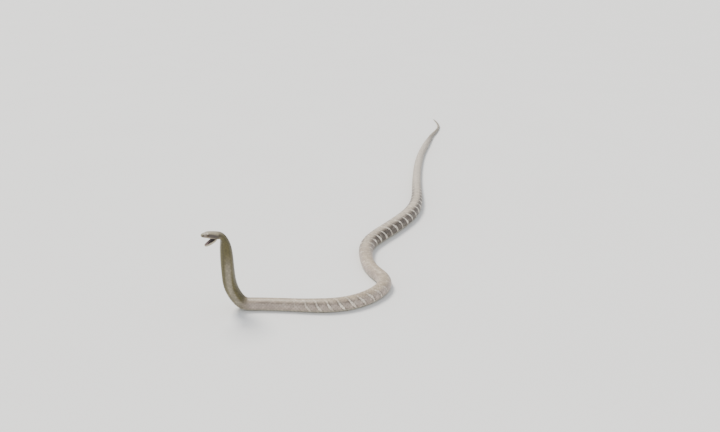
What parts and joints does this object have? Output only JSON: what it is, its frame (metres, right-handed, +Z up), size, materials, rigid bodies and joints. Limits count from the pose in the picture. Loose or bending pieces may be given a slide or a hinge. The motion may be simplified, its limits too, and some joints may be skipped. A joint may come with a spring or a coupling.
{
  "type": "king cobra",
  "caption": "Life-size still king cobra with its forebody raised, narrow hood spread and mouth open, the long body laid out behind in a wide bend.",
  "frame": {"origin": "on the floor, under the middle of the whole animal's box", "axes": "+Z up, the head faces -X at the front end of the body, and the body runs away along +Y to the tail"},
  "size_m": [1.3104, 3.669, 0.3451],
  "materials": {
    "head_hide": "satin",
    "jaw_hide": "satin",
    "neck_hide": "satin",
    "body_hide": "satin",
    "tail_hide": "satin",
    "eye": "gloss"
  },
  "bodies": {
    "root": {"head": "head_hide", "lower_jaw": "jaw_hide", "eye_left": "eye", "eye_right": "eye", "hood": "neck_hide", "neck_base": "neck_hide", "forebody": "body_hide", "near_bend_front": "body_hide", "near_bend_rear": "body_hide", "body_sweep": "body_hide", "midbody_front": "body_hide", "midbody_rear": "body_hide", "rearbody_front": "body_hide", "rearbody_rear": "body_hide", "tail_base": "tail_hide", "tail_tip": "tail_hide"}
  },
  "joints": []
}
